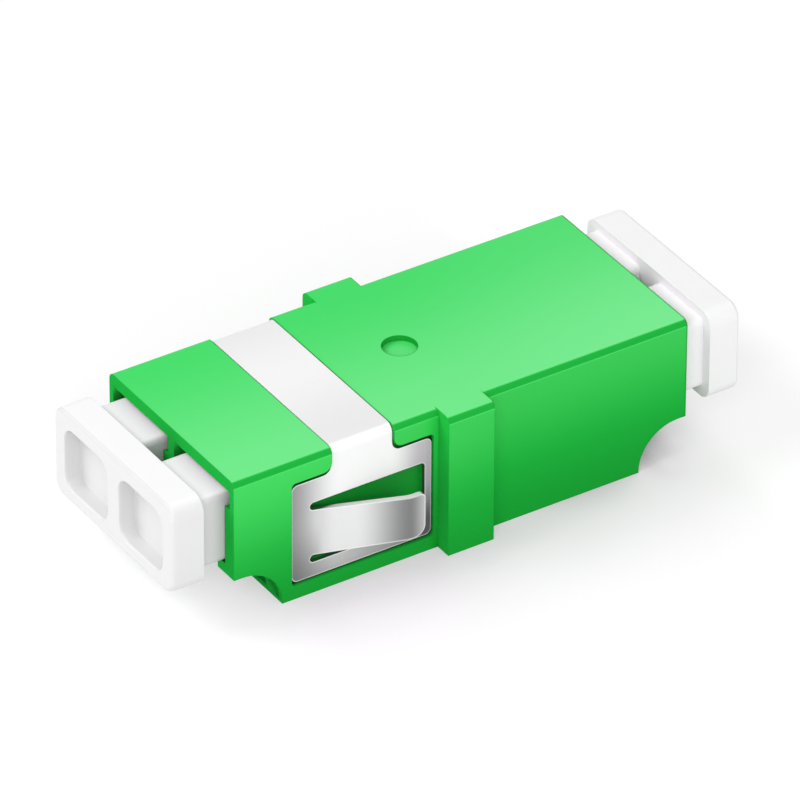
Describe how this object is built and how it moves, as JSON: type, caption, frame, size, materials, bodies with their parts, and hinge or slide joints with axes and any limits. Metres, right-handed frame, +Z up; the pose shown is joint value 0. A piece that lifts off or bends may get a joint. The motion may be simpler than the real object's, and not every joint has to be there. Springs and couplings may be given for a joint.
{
  "type": "fibre optic adapter",
  "caption": "Rectangular bulkhead adapter that joins fibre connectors end to end, with a side collar, a wrap-round spring clip for panel mounting and push-in dust caps.",
  "frame": {"origin": "under the middle of the housing, on the plane of its flat underside", "axes": "+X along the length, from the clip end to the plain end; +Y to the left seen from the clip end; +Z up, away from the latch slots"},
  "size_m": [0.0366, 0.0158, 0.009],
  "materials": {
    "housing_plastic": "satin moulded green",
    "clip_steel": "bright rolled sheet",
    "holder_plastic": "natural white moulding",
    "sleeve_ceramic": "polished white zirconia",
    "cap_plastic": "soft white moulding"
  },
  "bodies": {
    "adapter": {"housing": "housing_plastic", "panel_clip": "clip_steel", "sleeve_holder_front_left": "holder_plastic", "sleeve_holder_front_right": "holder_plastic", "sleeve_holder_rear_left": "holder_plastic", "sleeve_holder_rear_right": "holder_plastic", "split_sleeve_left": "sleeve_ceramic", "split_sleeve_right": "sleeve_ceramic"},
    "front_cap": {"dust_cap_front": "cap_plastic"},
    "rear_cap": {"dust_cap_rear": "cap_plastic"}
  },
  "joints": [
    {"name": "front_cap_pull", "type": "slide", "parent": "adapter", "child": "front_cap", "axis": [-1, 0, 0], "range_m": [0, 0.012]},
    {"name": "rear_cap_pull", "type": "slide", "parent": "adapter", "child": "rear_cap", "axis": [1, 0, 0], "range_m": [0, 0.012]}
  ]
}
